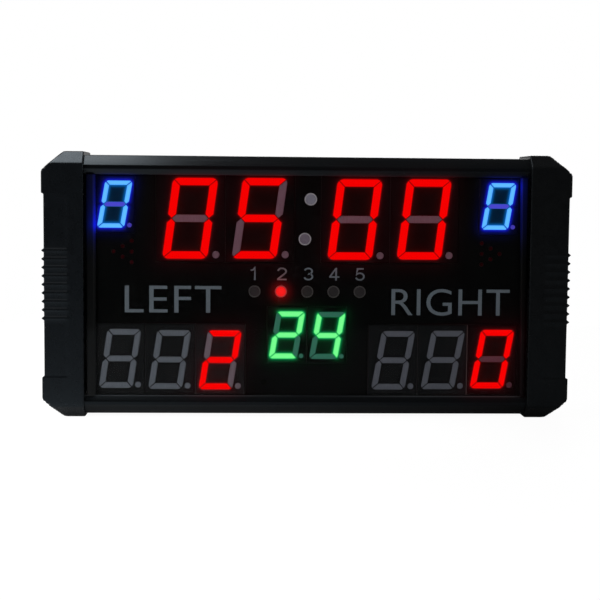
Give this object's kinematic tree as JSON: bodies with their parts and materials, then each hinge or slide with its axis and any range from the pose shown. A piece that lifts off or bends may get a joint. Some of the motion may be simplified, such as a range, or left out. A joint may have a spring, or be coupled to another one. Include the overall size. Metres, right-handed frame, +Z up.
{
  "type": "electronic scoreboard",
  "caption": "Free-standing electronic scoreboard: black case with ribbed end caps, clear front, timer, score, shot clock and foul digits, period lamps and possession arrows.",
  "frame": {"origin": "under the middle of the case, at the lowest face of the end caps", "axes": "+Z up, +X to the right seen from the front, the display faces -Y"},
  "size_m": [0.666, 0.09, 0.3359],
  "materials": {
    "anodised_rail": "black satin anodised",
    "moulded_cap": "fine moulded grain, charcoal black",
    "lens_trim": "satin black",
    "clear_lens": "clear, polished",
    "mask_sheet": "deep black",
    "digit_housing": "printed black face",
    "digit_segments": "milky resin",
    "round_lamp": "milky lens",
    "arrow_lamp": "red lens",
    "circuit_board": "green lacquer",
    "rear_sheet": "black powder coat",
    "black_fitting": "smooth black",
    "rocker": "red, glossy",
    "steel": "plated",
    "zinc_case": "folded sheet",
    "ribbon": "grey flat cable"
  },
  "bodies": {
    "case": {"bottom_rail": "anodised_rail", "buzzer": "black_fitting", "colon_lamp_lower": "round_lamp", "colon_lamp_upper": "round_lamp", "controller_board": "circuit_board", "display_board": "circuit_board", "front_lens": "clear_lens", "left_arrow_lamps": "arrow_lamp", "left_cap_screw_lower": "steel", "left_cap_screw_upper": "steel", "left_end_cap": "moulded_cap", "left_foul_digit_housing": "digit_housing", "left_foul_digit_segments": "digit_segments", "left_lens_trim": "lens_trim", "left_score_digit_1_housing": "digit_housing", "left_score_digit_1_segments": "digit_segments", "left_score_digit_2_housing": "digit_housing", "left_score_digit_2_segments": "digit_segments", "left_score_digit_3_housing": "digit_housing", "left_score_digit_3_segments": "digit_segments", "mask_panel": "mask_sheet", "period_lamp_1": "round_lamp", "period_lamp_2": "round_lamp", "period_lamp_3": "round_lamp", "period_lamp_4": "round_lamp", "period_lamp_5": "round_lamp", "power_inlet": "black_fitting", "power_supply": "zinc_case", "rear_panel": "rear_sheet", "remote_eye": "black_fitting", "ribbon_cable": "ribbon", "right_arrow_lamps": "arrow_lamp", "right_cap_screw_lower": "steel", "right_cap_screw_upper": "steel", "right_end_cap": "moulded_cap", "right_foul_digit_housing": "digit_housing", "right_foul_digit_segments": "digit_segments", "right_lens_trim": "lens_trim", "right_score_digit_1_housing": "digit_housing", "right_score_digit_1_segments": "digit_segments", "right_score_digit_2_housing": "digit_housing", "right_score_digit_2_segments": "digit_segments", "right_score_digit_3_housing": "digit_housing", "right_score_digit_3_segments": "digit_segments", "shot_digit_1_housing": "digit_housing", "shot_digit_1_segments": "digit_segments", "shot_digit_2_housing": "digit_housing", "shot_digit_2_segments": "digit_segments", "timer_digit_1_housing": "digit_housing", "timer_digit_1_segments": "digit_segments", "timer_digit_2_housing": "digit_housing", "timer_digit_2_segments": "digit_segments", "timer_digit_3_housing": "digit_housing", "timer_digit_3_segments": "digit_segments", "timer_digit_4_housing": "digit_housing", "timer_digit_4_segments": "digit_segments", "top_rail": "anodised_rail"},
    "rocker": {"power_rocker": "rocker"},
    "drawer": {"fuse_drawer": "black_fitting", "fuse": "steel"}
  },
  "joints": [
    {"name": "power_rocker_tilt", "type": "hinge", "parent": "case", "child": "rocker", "pos_m": [0.2, 0.0368, 0.11], "axis": [0, 0, 1], "range_deg": [-24, 0]},
    {"name": "fuse_drawer_slide", "type": "slide", "parent": "case", "child": "drawer", "axis": [0, 1, 0], "range_m": [0, 0.016]}
  ]
}
